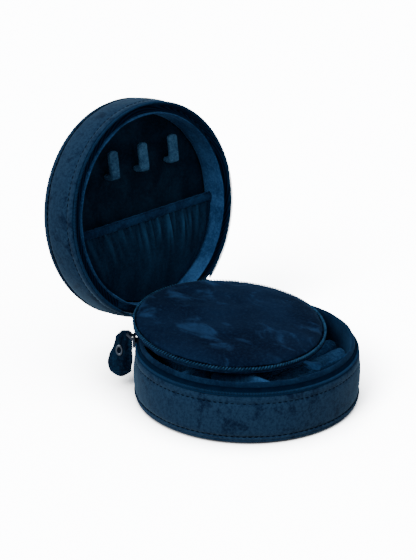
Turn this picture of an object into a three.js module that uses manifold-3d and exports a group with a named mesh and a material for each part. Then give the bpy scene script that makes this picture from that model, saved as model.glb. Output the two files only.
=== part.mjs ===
// Round velvet jewellery case, open: a low padded base and a hinged padded lid, a round flap
// that covers the base's compartments, a zip round the rim, three hooks and a pocket in the lid.
// Millimetres. Origin at the centre of the underside, +Z up, the fabric hinge at +Y.
import * as THREE from 'three';
import { mergeVertices } from 'three/addons/utils/BufferGeometryUtils.js';
import Module from 'manifold-3d';

const wasm = await Module();
wasm.setup();

// ---- Overall sizes ----
const CASE_R = 60;            // outer radius of the padded side bands
const BASE_H = 26.3;          // underside to the top of the base's band
const LID_H = 23.6;           // depth of the lid's band, edge to top
const ZIP_GAP = 4.8;          // space between the two bands when closed, filled by the zip
const LID_OPEN = 97.94;       // degrees between closed and the open stop
const FACETS = 48;            // facets of a full circle
const GAP = 0.3;              // free gap between neighbouring pieces

// ---- Shell layers ----
const BAND_T = 2.2;           // padded outer band
const PANEL_T = 1.9;          // bottom and top panels
const WELT_R = 0.8;           // rolled seam round the panel
const WELT_Z = 2.95;          // seam's centre from the panel's face
const WALL_T = 1.5;           // lined inner wall of the base
const COLLAR_T = 1.8;         // soft collar on top of the inner wall
const COLLAR_RISE = 7.3;      // crest of the collar above the band
const FLOOR_T = 1.8;          // floor pad
const LID_CAVITY = 15.5;      // lid's band edge to its backing pad
const ROLL_DEPTH = 6.8;       // height of the padded roll at the lid's mouth
const ROLL_CLEAR = 0.48;      // room between roll and collar as the lid swings
const FLAP_CLEAR = 0.5;       // room between the flap's edge and the lid's lining
const LINING_T = 7.2;         // outside of the case to the face of the lid's padded lining

// ---- Dividers and ring rolls in the base ----
const DIVIDER_T = 3.2;
const DIVIDER_RISE = 1.7;     // tops of the full-height dividers above the band
const LONG_X = -25;           // the long divider stands across this x
const LEFT_Y = 2;             // the short divider of the left side
const REAR_Y = 22;            // the divider behind the ring rolls
const TRAY_FRONT_Y = -33.2;   // low wall in front of the ring rolls
const TRAY_FRONT_H = 14.8;
const TRAY_FRONT_T = 2.6;
const ROLL_COUNT = 5;
const ROLL_W = 9.4;
const ROLL_TOP = 19.6;
const BLOCK_LEAD = 1.75;      // the block that anchors the tape starts this far before its root
const BLOCK_RISE = 0.7;

// ---- Flap and its tape ----
const FLAP_T = 4.4;
const FLAP_CLOSED_RISE = 0.2; // its underside above the zip's mid-plane when closed
const FLAP_REST_Y = 13.2;     // centre when it lies back against the open lid
const FLAP_REST_RISE = 5.3;   // its underside's centre above the zip's mid-plane at rest
const FLAP_TILT = 5.0;        // degrees, back edge up
const TAPE_INSET = 12.3;      // the tape is sewn this far in from the flap's back edge
const TAPE_W = 20;
const TAPE_T = 1.0;
const LOOP_X = 1.4;
const LOOP_W = 6.4;
const LOOP_LENGTH = 10.6;
const LOOP_H = 4.8;
const LOOP_ROOT_Z = 0.2;      // height of the loop's root above the flap's underside
const LOOP_T = 0.8;

// ---- Zip ----
const ZIP_FROM = 126;         // degrees round from +X, left end of the zip
const ZIP_TO = 414;           // right end, the long way round the front
const COIL_T = 1.1;
const COIL_W = 1.2;
const COIL_SPLIT = 0.6;       // mid-plane to each coil
const SLIDER_AT = 130;        // the slider waits here while the case is open
const SLIDER_ARC = 6.8;       // degrees of rim that the slider covers
const SLIDER_H = 6.0;
const PLATE_T = 1.1;
const INNER_PLATE_T = 0.5;
const BAIL_OUT = 4.4;         // the bail's bar stands this far outside the rim
const BAIL_RISE = 4.3;        // and this far above the zip's mid-plane
const BAIL_HALF = 2.8;
const WIRE = 0.45;            // half thickness of the bail's and the ring's wire
const RING_R = 2.3;
const TAB_T = 2.8;            // gathered tab, across the rim's tangent
const TAB_CLEAR = 1.3;        // the tab hangs this far outside the rim
const TAB_W = 13.1;
const TAB_LOW = 7.0;
const TAB_HEM = 3.4;
const NECK_T = 1.2;
const NECK_W = 4.6;
const TAB_HOLE = 1.2;

// ---- Lid fittings, in the closed lid's own place ----
const HOOK_X = [-18.6, 3.4, 26.4];
const HOOK_W = 6.6;
const HOOK_LOW_Y = -20.6;     // underside of the arm, nearest the hinge
const HOOK_ARM_T = 3.2;
const HOOK_TIP_Y = -37.4;
const HOOK_REACH = 8.2;       // how far the finger's face stands off the pad
const HOOK_T = 2.5;
const POCKET_TOP_Y = 2.3;
const POCKET_HEM = 5.0;
const POCKET_OFF = 5.9;       // the cloth stands this far off the pad
const CLOTH_T = 1.0;

// ---- Derived places ----
const ZIP_Z = BASE_H + ZIP_GAP / 2;
const LID_EDGE = BASE_H + ZIP_GAP;
const CLOSED_H = LID_EDGE + LID_H;
const COLLAR_TOP = BASE_H + COLLAR_RISE;
const DIVIDER_TOP = BASE_H + DIVIDER_RISE;
const BLOCK_TOP = BASE_H + BLOCK_RISE;
const FLAP_CLOSED_Z = ZIP_Z + FLAP_CLOSED_RISE;
const FLAP_REST_Z = ZIP_Z + FLAP_REST_RISE;
const LID_LINING_R = CASE_R - LINING_T;
const FLAP_R = LID_LINING_R - FLAP_CLEAR;
const TAPE_AT = FLAP_R - TAPE_INSET;
const BAIL_R = CASE_R + BAIL_OUT;
const BAIL_Z = ZIP_Z + BAIL_RISE;
const TAB_IN = CASE_R + TAB_CLEAR;
const TAB_OUT = TAB_IN + TAB_W;
const HINGE_Y = CASE_R - 0.5;
const BAND_IN = CASE_R - BAND_T;
const WALL_OUT = BAND_IN - GAP;
const WALL_IN = WALL_OUT - WALL_T;
const COLLAR_OUT = BAND_IN;
const COLLAR_IN = COLLAR_OUT - COLLAR_T;
const COLLAR_LOW = COLLAR_TOP - 4.2;
const LID_BAND_IN = BAND_IN + 0.5;
const PAD_Z = LID_EDGE + LID_CAVITY;
const FLOOR_Z = PANEL_T + GAP;
const FLOOR_TOP = FLOOR_Z + FLOOR_T;
const ROOM_R = Math.min(WALL_IN, COLLAR_IN) * Math.cos(Math.PI / FACETS) - GAP;

// ---- Finishes ----
const velvetOuter = { color: 0x2b4a63, roughness: 0.9, metalness: 0 };
const velvetInner = { color: 0x081a30, roughness: 0.95, metalness: 0 };
const velvetFlap = { color: 0x0b2544, roughness: 0.92, metalness: 0 };
const zipFabric = { color: 0x0c1524, roughness: 0.85, metalness: 0 };
const zipCoil = { color: 0x101b2e, roughness: 0.5, metalness: 0 };
const boardFill = { color: 0x6f6a60, roughness: 0.9, metalness: 0 };
const steel = { color: 0xb9bec6, roughness: 0.28, metalness: 1 };
const tabSatin = { color: 0x0b1424, roughness: 0.45, metalness: 0 };

const assembly = new THREE.Group();
assembly.name = 'jewellery_case';

// Bare closed geometry: one vertex per corner, no slivers, faces outward.
function closed(geometry) {
  geometry.deleteAttribute('normal');
  if (geometry.getAttribute('uv')) geometry.deleteAttribute('uv');
  geometry.clearGroups();
  const merged = mergeVertices(geometry, 1e-4);
  const kept = [];
  const order = merged.getIndex().array;
  for (let i = 0; i < order.length; i += 3) {
    const [a, b, c] = [order[i], order[i + 1], order[i + 2]];
    if (a !== b && b !== c && a !== c) kept.push(a, b, c);
  }
  merged.setIndex(kept);
  if (signedVolume(merged) < 0) {
    for (let i = 0; i < kept.length; i += 3) [kept[i], kept[i + 1]] = [kept[i + 1], kept[i]];
    merged.setIndex(kept);
  }
  return merged;
}

function signedVolume(geometry) {
  const at = geometry.getAttribute('position');
  const order = geometry.getIndex().array;
  const [p, q, r] = [new THREE.Vector3(), new THREE.Vector3(), new THREE.Vector3()];
  let sum = 0;
  for (let i = 0; i < order.length; i += 3) {
    p.fromBufferAttribute(at, order[i]);
    q.fromBufferAttribute(at, order[i + 1]);
    r.fromBufferAttribute(at, order[i + 2]);
    sum += p.dot(q.cross(r)) / 6;
  }
  return sum;
}

function place(name, geometry, finish) {
  const solid = closed(geometry);
  solid.computeVertexNormals();
  const mesh = new THREE.Mesh(solid, new THREE.MeshStandardMaterial(finish));
  mesh.name = name;
  assembly.add(mesh);
}

// A full ring or disc: profile points are [radius, z], round the section in either direction.
function ring(profile) {
  const points = profile.map(([r, z]) => new THREE.Vector2(r, z));
  const onAxis = profile[0][0] === 0 && profile[profile.length - 1][0] === 0;
  if (!onAxis) points.push(points[0].clone());
  return new THREE.LatheGeometry(points, FACETS).rotateX(Math.PI / 2);
}

// Part of a ring, with flat ends, between two angles in degrees.
function arcBar(profile, from, to, step = 360 / FACETS) {
  const steps = Math.max(1, Math.round((to - from) / step));
  const n = profile.length;
  const at = [];
  for (let i = 0; i <= steps; i += 1) {
    const turn = THREE.MathUtils.degToRad(from + (to - from) * i / steps);
    for (const [r, z] of profile) at.push(r * Math.cos(turn), r * Math.sin(turn), z);
  }
  const order = [];
  for (let i = 0; i < steps; i += 1) {
    for (let j = 0; j < n; j += 1) {
      const a = i * n + j;
      const b = i * n + (j + 1) % n;
      order.push(a, a + n, b + n, a, b + n, b);
    }
  }
  const flat = profile.map(([r, z]) => new THREE.Vector2(r, z));
  for (const [a, b, c] of THREE.ShapeUtils.triangulateShape(flat, [])) {
    order.push(a, b, c, steps * n + a, steps * n + c, steps * n + b);
  }
  const bar = new THREE.BufferGeometry();
  bar.setAttribute('position', new THREE.Float32BufferAttribute(at, 3));
  bar.setIndex(order);
  return bar;
}

// A rectangle section [inner radius, outer radius, low z, high z].
function oblong(inner, outer, low, high) {
  return [[inner, low], [outer, low], [outer, high], [inner, high]];
}

function roundSection(r, z, radius, sides = 6) {
  const points = [];
  for (let i = 0; i < sides; i += 1) {
    const turn = 2 * Math.PI * (i + 0.5) / sides;
    points.push([r + radius * Math.cos(turn), z + radius * Math.sin(turn)]);
  }
  return points;
}

function box(x0, x1, y0, y1, z0, z1) {
  const made = new THREE.BoxGeometry(x1 - x0, y1 - y0, z1 - z0);
  return made.translate((x0 + x1) / 2, (y0 + y1) / 2, (z0 + z1) / 2);
}

// An outline of [y, z] points pushed along X from x0 to x1.
function alongX(outline, x0, x1, holes = []) {
  const shape = new THREE.Shape(outline.map(([y, z]) => new THREE.Vector2(y, z)));
  for (const hole of holes) {
    shape.holes.push(new THREE.Path(hole.map(([y, z]) => new THREE.Vector2(y, z))));
  }
  const made = new THREE.ExtrudeGeometry(shape, { depth: x1 - x0, bevelEnabled: false });
  const turn = new THREE.Matrix4().makeBasis(
    new THREE.Vector3(0, 1, 0), new THREE.Vector3(0, 0, 1), new THREE.Vector3(1, 0, 0));
  return made.applyMatrix4(turn).translate(x0, 0, 0);
}

// An outline of [x, y] points pushed up from z0 to z1.
function upZ(outline, z0, z1) {
  const shape = new THREE.Shape(outline.map(([x, y]) => new THREE.Vector2(x, y)));
  const made = new THREE.ExtrudeGeometry(shape, { depth: z1 - z0, bevelEnabled: false });
  return made.translate(0, 0, z0);
}

// Outline of the part of a disc that lies beyond y = cut, on the +Y side.
function segment(radius, cut, steps) {
  const half = Math.acos(cut / radius);
  const points = [];
  for (let i = 0; i <= steps; i += 1) {
    const turn = Math.PI / 2 - half + 2 * half * i / steps;
    points.push([radius * Math.cos(turn), radius * Math.sin(turn)]);
  }
  return points;
}

function asManifold(geometry) {
  const g = closed(geometry);
  return new wasm.Manifold(new wasm.Mesh({
    numProp: 3,
    vertProperties: new Float32Array(g.getAttribute('position').array),
    triVerts: new Uint32Array(g.getIndex().array),
  }));
}

function fromManifold(body) {
  const mesh = body.getMesh();
  const geometry = new THREE.BufferGeometry();
  geometry.setAttribute('position', new THREE.BufferAttribute(new Float32Array(mesh.vertProperties), 3));
  geometry.setIndex([...mesh.triVerts]);
  return geometry;
}

const cut = (a, b) => fromManifold(asManifold(a).subtract(asManifold(b)));
const join = (...all) => fromManifold(wasm.Manifold.union(all.map(asManifold)));

// Swings a piece drawn in its closed place up to the open stop, about the fabric hinge.
function lidOpen(geometry) {
  const turn = new THREE.Matrix4().makeRotationX(THREE.MathUtils.degToRad(-LID_OPEN));
  return geometry.translate(0, -HINGE_Y, -ZIP_Z).applyMatrix4(turn).translate(0, HINGE_Y, ZIP_Z);
}

// Moves a piece drawn flat, centred at the origin, to where the flap lies at rest.
function flapRest(geometry) {
  const turn = new THREE.Matrix4().makeRotationX(THREE.MathUtils.degToRad(FLAP_TILT));
  return geometry.applyMatrix4(turn).translate(0, FLAP_REST_Y, FLAP_REST_Z);
}

// Turns a piece drawn with +X outward at the front of the rim to the slider's place.
function atSlider(geometry) {
  return geometry.rotateZ(THREE.MathUtils.degToRad(SLIDER_AT));
}

// ---- Base shell ----
function baseShell() {
  const underside = [[0, 0], [CASE_R - 1.9, 0], [CASE_R - 0.8, 0.8], [CASE_R - 0.8, PANEL_T], [0, PANEL_T]];
  place('base_bottom_panel', ring(underside), velvetOuter);
  place('base_bottom_welt', ring(roundSection(CASE_R - 0.5, WELT_Z, WELT_R)), velvetOuter);
  const low = WELT_Z + WELT_R + GAP / 2;
  place('base_outer_band', ring([[BAND_IN, low], [CASE_R - 0.6, low], [CASE_R, low + 0.8],
    [CASE_R, BASE_H - 0.8], [CASE_R - 0.6, BASE_H], [BAND_IN, BASE_H]]), velvetOuter);
  place('base_floor_pad', ring([[0, FLOOR_Z], [WALL_OUT, FLOOR_Z], [WALL_OUT, FLOOR_TOP], [0, FLOOR_TOP]]),
    velvetInner);
  place('base_wall_lining', ring(oblong(WALL_IN, WALL_OUT, FLOOR_TOP + GAP, COLLAR_LOW - GAP)), velvetInner);
  const crest = COLLAR_TOP - COLLAR_T / 2;
  place('base_collar', ring([[COLLAR_IN, COLLAR_LOW], [COLLAR_OUT, COLLAR_LOW], [COLLAR_OUT, crest],
    [COLLAR_OUT - 0.26, crest + 0.64], [COLLAR_OUT - 0.9, COLLAR_TOP], [COLLAR_IN + 0.26, crest + 0.64],
    [COLLAR_IN, crest]]), velvetInner);
}

// ---- Compartments ----
function chordEnd(y) {
  return Math.sqrt(ROOM_R * ROOM_R - y * y);
}

function compartments() {
  const low = FLOOR_TOP + GAP;
  const half = DIVIDER_T / 2;
  const longEnd = Math.sqrt(ROOM_R * ROOM_R - (LONG_X - half) * (LONG_X - half));
  place('divider_long', box(LONG_X - half, LONG_X + half, -longEnd, longEnd, low, DIVIDER_TOP), velvetInner);
  const leftEnd = -chordEnd(Math.abs(LEFT_Y) + half);
  place('divider_left', box(leftEnd, LONG_X - half - GAP, LEFT_Y - half, LEFT_Y + half, low, DIVIDER_TOP - 1.2),
    velvetInner);
  const start = LONG_X + half + GAP;
  const rearEnd = chordEnd(REAR_Y + half);
  place('divider_rear', box(start, rearEnd, REAR_Y - half, REAR_Y + half, low, DIVIDER_TOP), velvetInner);
  const trayEnd = chordEnd(Math.abs(TRAY_FRONT_Y) + TRAY_FRONT_T / 2);
  place('ring_tray_front', box(start, trayEnd, TRAY_FRONT_Y - TRAY_FRONT_T / 2,
    TRAY_FRONT_Y + TRAY_FRONT_T / 2, low, low + TRAY_FRONT_H), velvetInner);
  ringRolls(start, low);
  const face = flapLinkage().rootY - BLOCK_LEAD;
  const floorEdge = upZ(segment(ROOM_R, face, 8), low, BLOCK_TOP);
  const leftSide = box(-ROOM_R, start, face - 1, ROOM_R, low - 1, BLOCK_TOP + 1);
  place('tape_block', cut(floorEdge, leftSide), velvetInner);
}

function ringRolls(start, low) {
  const first = TRAY_FRONT_Y + TRAY_FRONT_T / 2 + GAP;
  const last = REAR_Y - DIVIDER_T / 2 - GAP;
  const pitch = (last - first) / ROLL_COUNT;
  const r = ROLL_W / 2;
  for (let i = 0; i < ROLL_COUNT; i += 1) {
    const y = first + pitch * (i + 0.5);
    const outline = [[y - r, low], [y + r, low]];
    for (let k = 0; k <= 8; k += 1) {
      const turn = Math.PI * k / 8;
      outline.push([y + r * Math.cos(turn), ROLL_TOP - r + r * Math.sin(turn)]);
    }
    place(`ring_roll_${i + 1}`, alongX(outline, start, chordEnd(Math.abs(y) + r)), velvetInner);
  }
}

// ---- Lid shell ----
function lidShell() {
  const outside = [[0, CLOSED_H], [CASE_R - 1.9, CLOSED_H], [CASE_R - 0.8, CLOSED_H - 0.8],
    [CASE_R - 0.8, CLOSED_H - PANEL_T], [0, CLOSED_H - PANEL_T]];
  place('lid_top_panel', lidOpen(ring(outside)), velvetOuter);
  const seam = CLOSED_H - WELT_Z;
  place('lid_top_welt', lidOpen(ring(roundSection(CASE_R - 0.5, seam, WELT_R))), velvetOuter);
  const high = seam - WELT_R - GAP / 2;
  place('lid_outer_band', lidOpen(ring([[LID_BAND_IN, LID_EDGE], [CASE_R - 0.6, LID_EDGE],
    [CASE_R, LID_EDGE + 0.8], [CASE_R, high - 0.8], [CASE_R - 0.6, high], [LID_BAND_IN, high]])), velvetOuter);
  const inside = LID_BAND_IN - GAP;
  place('lid_backing_pad', lidOpen(ring([[0, PAD_Z], [inside, PAD_Z],
    [inside, CLOSED_H - PANEL_T - GAP], [0, CLOSED_H - PANEL_T - GAP]])), velvetInner);
  const rollTop = ZIP_Z + 0.9 + ROLL_DEPTH;
  place('lid_wall_lining', lidOpen(ring(oblong(LID_LINING_R, inside, rollTop + GAP, PAD_Z - GAP))), velvetInner);
  place('lid_lining_roll', lidOpen(ring(rollSection(inside, rollTop))), velvetInner);
}

// The roll's outer flank follows the circle that the collar's crest makes about the hinge.
function rollSection(inside, rollTop) {
  const crest = COLLAR_TOP - COLLAR_T / 2;
  const mid = COLLAR_OUT - COLLAR_T / 2;
  const reach = Math.hypot(HINGE_Y - mid, crest - ZIP_Z) + COLLAR_T / 2 + ROLL_CLEAR;
  const section = [[LID_LINING_R, rollTop], [LID_LINING_R, ZIP_Z + 1.3]];
  const low = 0.9;
  const high = Math.sqrt(reach * reach - (HINGE_Y - inside) * (HINGE_Y - inside));
  for (let k = 0; k <= 4; k += 1) {
    const up = low + (high - low) * k / 4;
    section.push([HINGE_Y - Math.sqrt(reach * reach - up * up), ZIP_Z + up]);
  }
  section.push([inside, rollTop]);
  return section;
}

// ---- Zip and fabric hinge ----
function zip() {
  const out = CASE_R + 0.1;
  const coil = oblong(out - COIL_W, out, ZIP_Z - COIL_SPLIT - COIL_T, ZIP_Z - COIL_SPLIT);
  const lidCoil = oblong(out - COIL_W, out, ZIP_Z + COIL_SPLIT, ZIP_Z + COIL_SPLIT + COIL_T);
  const tapeLow = oblong(out - 0.9, out - 0.4, BASE_H + 0.1, ZIP_Z - COIL_SPLIT - COIL_T - 0.1);
  const tapeHigh = oblong(out - 0.9, out - 0.4, ZIP_Z + COIL_SPLIT + COIL_T + 0.1, LID_EDGE - 0.1);
  place('base_zip_coil', arcBar(coil, ZIP_FROM, ZIP_TO, 5), zipCoil);
  place('lid_zip_coil', lidOpen(arcBar(lidCoil, ZIP_FROM, ZIP_TO, 5)), zipCoil);
  place('base_zip_tape', arcBar(tapeLow, ZIP_FROM, ZIP_TO, 5), zipFabric);
  place('lid_zip_tape', lidOpen(arcBar(tapeHigh, ZIP_FROM, ZIP_TO, 5)), zipFabric);
  const stop = oblong(out - COIL_W, out, BASE_H + 0.1, ZIP_Z - 0.4);
  place('zip_stop_left', arcBar(stop, ZIP_FROM - 1.8, ZIP_FROM - 0.4, 2), steel);
  place('zip_stop_right', arcBar(stop, ZIP_TO + 0.4, ZIP_TO + 1.8, 2), steel);
  const from = ZIP_TO - 360 + 2.6;
  const to = ZIP_FROM - 2.6;
  place('hinge_strip_base', arcBar(oblong(CASE_R - 1.1, CASE_R - 0.2, BASE_H + 0.1, ZIP_Z - 0.6), from, to),
    velvetInner);
  place('hinge_strip_lid', lidOpen(arcBar(oblong(CASE_R - 1.1, CASE_R - 0.2, ZIP_Z + 0.6, LID_EDGE - 0.1),
    from, to)), velvetInner);
}

// ---- Slider, ring and pull tab ----
function slider() {
  const plate = CASE_R + 0.4;
  const inner = CASE_R - 1.4;
  const web = COIL_SPLIT - GAP;
  const high = ZIP_Z + SLIDER_H / 2;
  const low = ZIP_Z - SLIDER_H / 2;
  const innerHigh = LID_EDGE - GAP;
  const innerLow = BASE_H + GAP;
  const section = [[plate, low], [plate + PLATE_T, low], [plate + PLATE_T, high], [plate, high],
    [plate, ZIP_Z + web], [inner, ZIP_Z + web], [inner, innerHigh], [inner - INNER_PLATE_T, innerHigh],
    [inner - INNER_PLATE_T, innerLow], [inner, innerLow], [inner, ZIP_Z - web], [plate, ZIP_Z - web]];
  const half = SLIDER_ARC / 2;
  place('zip_slider', arcBar(section, SLIDER_AT - half, SLIDER_AT + half, half), steel);

  const foot = plate + PLATE_T + 0.1;
  const bar = box(BAIL_R - WIRE, BAIL_R + WIRE, -BAIL_HALF, BAIL_HALF, BAIL_Z - WIRE, BAIL_Z + WIRE);
  const slope = [[foot, high - 2.4], [foot, high - 0.6], [BAIL_R - WIRE, BAIL_Z + WIRE],
    [BAIL_R + WIRE, BAIL_Z + WIRE], [BAIL_R + WIRE, BAIL_Z - WIRE]];
  const posts = [-1, 1].map((side) => acrossRim(slope, WIRE * 2).translate(0, side * (BAIL_HALF - WIRE), 0));
  place('zip_slider_bail', atSlider(join(bar, ...posts)), steel);

  const centreZ = BAIL_Z + WIRE * 2 + 0.25 - RING_R;
  const loop = new THREE.TorusGeometry(RING_R, WIRE, 6, 18).rotateX(Math.PI / 2);
  place('pull_ring', atSlider(loop.translate(BAIL_R, 0, centreZ)), steel);
  pullTab(centreZ);
}

// The tab is a gathered pocket of cloth whose neck is looped through the ring.
function pullTab(centreZ) {
  const holeZ = centreZ - RING_R - 0.25;
  const neckTop = holeZ + TAB_HOLE + 0.85;
  const neckLow = holeZ - TAB_HOLE - 2;
  const neck = box(BAIL_R - NECK_T / 2, BAIL_R + NECK_T / 2, -NECK_W / 2, NECK_W / 2, neckLow, neckTop);
  const hole = new THREE.CylinderGeometry(TAB_HOLE, TAB_HOLE, NECK_T + 1, 12).rotateZ(Math.PI / 2);
  const looped = cut(neck, hole.translate(BAIL_R, 0, holeZ));
  const hemTop = TAB_LOW + TAB_HEM;
  const shoulder = neckLow + 1.2;
  const outline = [[BAIL_R - 1.6, shoulder], [TAB_IN + 0.6, shoulder - 6], [TAB_IN, hemTop + 3],
    [TAB_IN + 0.2, hemTop], [TAB_OUT - 1.0, hemTop], [TAB_OUT, hemTop + 4], [TAB_OUT - 2, shoulder - 5],
    [BAIL_R + 4.4, shoulder + 0.6], [BAIL_R + 1.6, shoulder + 1]];
  place('pull_tab', atSlider(join(looped, acrossRim(outline, TAB_T))), tabSatin);
  const below = hemTop - 0.1;
  const hem = [[TAB_IN + 0.2, below], [TAB_IN + 1.4, TAB_LOW + 0.9], [(TAB_IN + TAB_OUT) / 2, TAB_LOW],
    [TAB_OUT - 2.6, TAB_LOW + 1.2], [TAB_OUT - 1.0, below]];
  place('pull_tab_hem', atSlider(acrossRim(hem, TAB_T + 0.8)), tabSatin);
  const eyelet = new THREE.TorusGeometry(1.5, 0.45, 6, 16).scale(1, 1.7, 1).rotateX(Math.PI / 2);
  const side = TAB_T / 2 + 0.55;
  place('pull_tab_eyelet', atSlider(eyelet.translate(BAIL_R + 4.6, side, shoulder - 4)), steel);
}

// An outline of [radius, z] points with its thickness across the rim's tangent.
function acrossRim(outline, thickness) {
  const shape = new THREE.Shape(outline.map(([r, z]) => new THREE.Vector2(r, z)));
  const made = new THREE.ExtrudeGeometry(shape, { depth: thickness, bevelEnabled: false });
  return made.rotateX(Math.PI / 2).translate(0, thickness / 2, 0);
}

// ---- Round flap, its tape and its pull loop ----
function flap() {
  const skin = 1.1;
  place('flap_bottom_cover', flapRest(ring([[0, 0], [FLAP_R - 1.2, 0], [FLAP_R - 0.5, skin], [0, skin]])),
    velvetFlap);
  place('flap_board', flapRest(ring([[0, skin + 0.1], [FLAP_R - 2.4, skin + 0.1],
    [FLAP_R - 2.4, FLAP_T - skin - 0.1], [0, FLAP_T - skin - 0.1]])), boardFill);
  place('flap_top_cover', flapRest(ring([[0, FLAP_T - skin], [FLAP_R - 0.5, FLAP_T - skin],
    [FLAP_R - 1.2, FLAP_T], [0, FLAP_T]])), velvetFlap);
  place('flap_edge_cord', flapRest(ring(oblong(FLAP_R - 2.1, FLAP_R, skin + 0.1, FLAP_T - skin - 0.1))),
    velvetFlap);
  flapTape();
  pullLoop();
}

// The tape swings about its root on the block; the flap swings about the tape's other end.
function flapLinkage() {
  const tilt = THREE.MathUtils.degToRad(FLAP_TILT);
  const endY = FLAP_REST_Y + TAPE_AT * Math.cos(tilt);
  const endZ = FLAP_REST_Z + TAPE_AT * Math.sin(tilt);
  const rise = endZ - FLAP_CLOSED_Z;
  const shift = endY - TAPE_AT;
  const rootY = (endY + TAPE_AT + rise * rise / shift) / 2;
  const length = rootY - TAPE_AT;
  const restTurn = Math.atan2(rise, endY - rootY);
  return { rootY, rootZ: FLAP_CLOSED_Z, endY, endZ, length, restTurn };
}

function flapTape() {
  const { rootY, rootZ, length, restTurn } = flapLinkage();
  const half = TAPE_W / 2;
  const strip = box(-half, half, 0.6, length - 1.2, GAP, GAP + TAPE_T);
  const turn = new THREE.Matrix4().makeRotationX(restTurn);
  place('flap_tape', strip.applyMatrix4(turn).translate(0, rootY, rootZ), velvetInner);
  place('tape_anchor', box(-half, half, rootY + 1.7, ROOM_R - 1.2, BLOCK_TOP + 0.1, rootZ - 0.4), velvetInner);
}

function pullLoop() {
  const root = -FLAP_R - GAP;
  const mid = LOOP_ROOT_Z;
  const outer = leaf(root, mid, LOOP_LENGTH, LOOP_H / 2);
  const inner = leaf(root - LOOP_T * 1.4, mid, LOOP_LENGTH - LOOP_T * 2.6, LOOP_H / 2 - LOOP_T);
  const loop = alongX(outer, LOOP_X - LOOP_W / 2, LOOP_X + LOOP_W / 2, [inner]);
  place('flap_pull_loop', flapRest(loop), velvetFlap);
}

// A leaf outline that starts at y = root and reaches forward, away from the flap.
function leaf(root, mid, length, half) {
  const points = [];
  for (let i = 0; i < 12; i += 1) {
    const turn = 2 * Math.PI * i / 12;
    const along = (1 - Math.cos(turn)) / 2;
    points.push([root - length * along, mid + half * Math.sin(turn)]);
  }
  return points;
}

// ---- Lid fittings ----
function lidFittings() {
  const face = PAD_Z - GAP / 2;
  HOOK_X.forEach((x, i) => {
    const front = PAD_Z - HOOK_REACH;
    const outline = [[HOOK_LOW_Y, face], [HOOK_LOW_Y, front + 0.6], [HOOK_LOW_Y - 0.6, front],
      [HOOK_TIP_Y + 1, front], [HOOK_TIP_Y, front + 1], [HOOK_TIP_Y, front + HOOK_T - 0.6],
      [HOOK_TIP_Y + 0.6, front + HOOK_T], [HOOK_LOW_Y - HOOK_ARM_T, front + HOOK_T],
      [HOOK_LOW_Y - HOOK_ARM_T, face]];
    place(`necklace_hook_${i + 1}`, lidOpen(alongX(outline, x - HOOK_W / 2, x + HOOK_W / 2)), velvetInner);
  });
  const r = LID_LINING_R * Math.cos(Math.PI / FACETS) - GAP;
  const clothFace = PAD_Z - POCKET_OFF;
  const hemY = POCKET_TOP_Y + POCKET_HEM;
  place('pocket_cloth', lidOpen(upZ(segment(r, hemY + GAP, 24), clothFace - CLOTH_T, clothFace)), velvetFlap);
  const hemHalf = Math.sqrt(r * r - hemY * hemY);
  place('pocket_hem', lidOpen(box(-hemHalf, hemHalf, POCKET_TOP_Y, hemY, clothFace - CLOTH_T - 0.3,
    clothFace - 0.6)), velvetFlap);
  place('pocket_elastic', lidOpen(box(-hemHalf, hemHalf, POCKET_TOP_Y + 0.6, hemY - 0.6, clothFace - 0.5,
    clothFace)), zipFabric);
}

baseShell();
compartments();
lidShell();
zip();
slider();
flap();
lidFittings();

export default assembly;
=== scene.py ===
import math

import bmesh
import bpy
import numpy as np
from mathutils import Matrix, Vector, noise


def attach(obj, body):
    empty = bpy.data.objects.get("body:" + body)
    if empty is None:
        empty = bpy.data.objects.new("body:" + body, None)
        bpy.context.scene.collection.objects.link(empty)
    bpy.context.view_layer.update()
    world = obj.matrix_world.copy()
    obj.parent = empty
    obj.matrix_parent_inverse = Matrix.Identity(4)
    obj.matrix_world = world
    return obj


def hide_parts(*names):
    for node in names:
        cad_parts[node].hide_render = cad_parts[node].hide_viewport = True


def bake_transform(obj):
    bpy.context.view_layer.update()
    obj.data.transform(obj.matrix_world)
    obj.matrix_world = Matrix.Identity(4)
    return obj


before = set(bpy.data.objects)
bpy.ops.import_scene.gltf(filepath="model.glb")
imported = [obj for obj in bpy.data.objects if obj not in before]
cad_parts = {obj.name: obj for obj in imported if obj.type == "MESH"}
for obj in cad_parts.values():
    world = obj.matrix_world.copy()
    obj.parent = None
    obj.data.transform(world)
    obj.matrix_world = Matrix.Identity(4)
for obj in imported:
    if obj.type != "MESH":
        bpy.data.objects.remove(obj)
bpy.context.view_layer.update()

# The base's outer band: a strip of crushed navy velvet glued round a card ring. Its upper edge is
# turned in beside the zip and topstitched in a shallow groove, so it looks slightly quilted there.
MM = 0.001
BASE_TOP = 26.3
LID_TOP = 54.7
LID_BAND_H = 23.6
BAND_STEPS = 96
SEAM_R, SEAM_DROP = 60.12, 3.7
SEAM_STITCH, SEAM_THREAD = 2.1, 0.5
WELT_R, WELT_HEIGHT = 60.45, 4.12
WELT_STITCH, WELT_THREAD = 2.0, 0.55
STITCH_PITCH = 3.0


def alone(add, name, **how):
    """Adds a primitive under the piece's own name, with nothing else selected."""
    if bpy.context.object and bpy.context.object.mode != "OBJECT":
        bpy.ops.object.mode_set(mode="OBJECT")
    bpy.ops.object.select_all(action="DESELECT")
    add(**how)
    piece = bpy.context.object
    piece.name = name
    piece.data.name = name
    bpy.ops.object.transform_apply(location=True, rotation=True, scale=True)
    return piece


def take(piece):
    """Makes a piece the only one selected."""
    bpy.ops.object.select_all(action="DESELECT")
    bpy.context.view_layer.objects.active = piece
    piece.select_set(True)
    return piece


def edit(piece):
    """Opens a piece in edit mode with all of it selected."""
    take(piece)
    bpy.ops.object.mode_set(mode="EDIT")
    bpy.ops.mesh.select_all(action="SELECT")


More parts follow.
